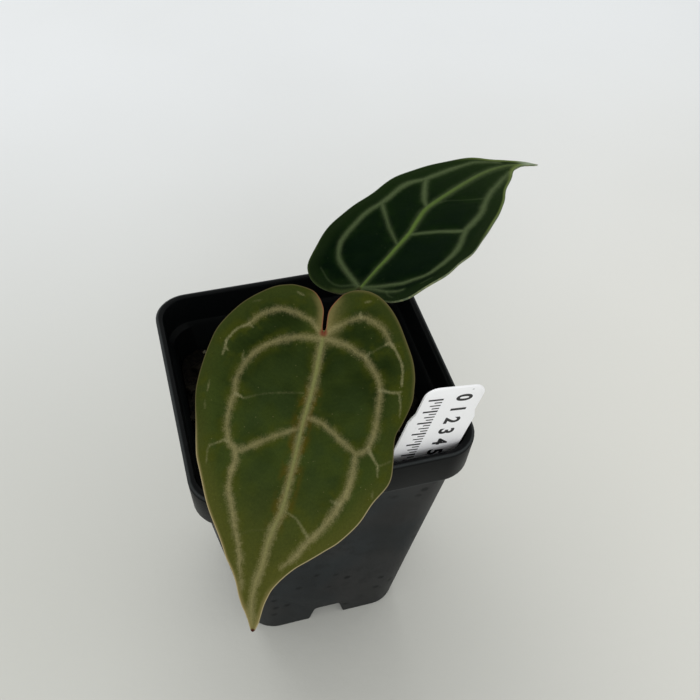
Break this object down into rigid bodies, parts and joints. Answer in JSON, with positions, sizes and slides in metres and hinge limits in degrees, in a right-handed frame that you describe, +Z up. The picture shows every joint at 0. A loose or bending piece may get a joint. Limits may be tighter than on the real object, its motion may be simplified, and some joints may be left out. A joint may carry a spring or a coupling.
{
  "type": "potted velvet anthurium",
  "caption": "Young velvet-leaved aroid with heart-shaped veined leaves in a square tapering nursery pot, with a white stake label.",
  "frame": {"origin": "on the surface that the pot stands on, under the middle of the whole plant's box", "axes": "+Z up, -Y towards the pot's front wall, which the label stands inside"},
  "size_m": [0.1122, 0.1038, 0.1273],
  "materials": {
    "pot_plastic": "satin moulded black plastic with fine speckles",
    "potting_mix": "rough damp bark and peat mix",
    "stem_skin": "ridged green-brown stem with leaf scars",
    "petiole_skin": "smooth green leaf stalk with a paler joint",
    "dry_sheath": "dry papery sheath with long fibres",
    "young_leaf": "velvety olive green with pale feathered veins",
    "mature_leaf": "velvety dark green with grey-green veins",
    "label_plastic": "smooth white plastic with a printed plain scale"
  },
  "bodies": {
    "root": {"pot": "pot_plastic", "soil": "potting_mix", "stem": "stem_skin", "petiole_front": "petiole_skin", "petiole_back": "petiole_skin", "cataphyll_front": "dry_sheath", "cataphyll_back": "dry_sheath", "leaf_front": "young_leaf", "leaf_back": "mature_leaf", "plant_label": "label_plastic"}
  },
  "joints": []
}
